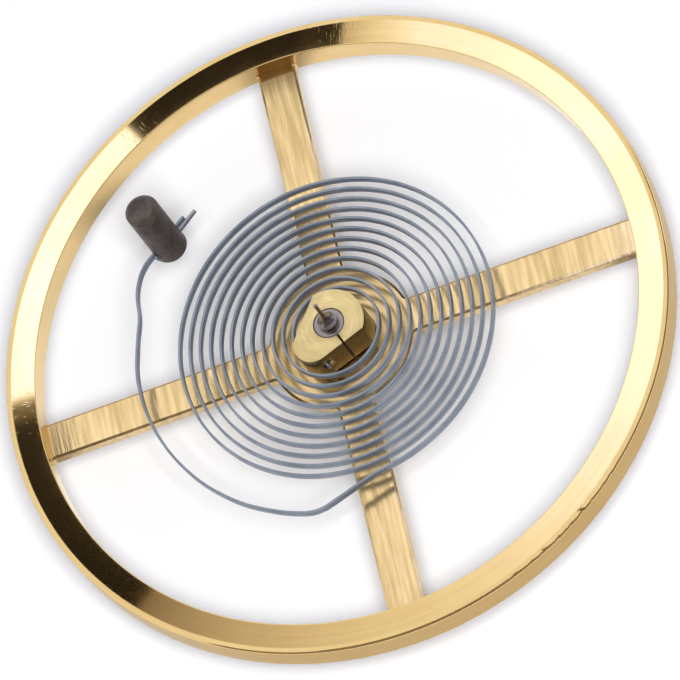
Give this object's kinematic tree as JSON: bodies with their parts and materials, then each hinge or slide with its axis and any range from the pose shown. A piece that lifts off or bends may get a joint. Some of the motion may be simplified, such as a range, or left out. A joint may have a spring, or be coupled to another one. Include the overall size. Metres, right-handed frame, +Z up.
{
  "type": "balance wheel",
  "caption": "Watch balance: ring rim on crossed arms, pivoted staff with rollers and jewel, collet and flat spiral hairspring ending in a pinned stud.",
  "frame": {"origin": "tip of the lower pivot, on the staff's axis, at the bottom centre of the part", "axes": "+Z up the balance staff towards the upper pivot; +X and +Y along two of the four arms"},
  "size_m": [0.017, 0.017, 0.0047],
  "materials": {
    "wheel_brass": "polished, fine brushed marks on the arms",
    "collet_brass": "satin",
    "pin_brass": "drawn",
    "staff_steel": "hardened and polished",
    "roller_steel": "polished",
    "blued_steel": "tempered blue-grey",
    "stud_steel": "browned, dull",
    "pin_steel": "drawn",
    "ruby": "polished synthetic ruby"
  },
  "bodies": {
    "stud": {"stud": "stud_steel", "stud_pin": "pin_steel", "hairspring": "blued_steel"},
    "balance": {"balance_wheel": "wheel_brass", "balance_staff": "staff_steel", "collet": "collet_brass", "collet_pin": "pin_brass", "impulse_roller": "roller_steel", "safety_roller": "roller_steel", "impulse_jewel": "ruby"}
  },
  "joints": [
    {"name": "balance_swing", "type": "hinge", "parent": "stud", "child": "balance", "pos_m": [0, 0, 0.0021], "axis": [0, 0, 1], "range_deg": [-300, 300], "stiffness_Nm_per_rad": 0.00000423, "deforming": ["hairspring"]}
  ]
}
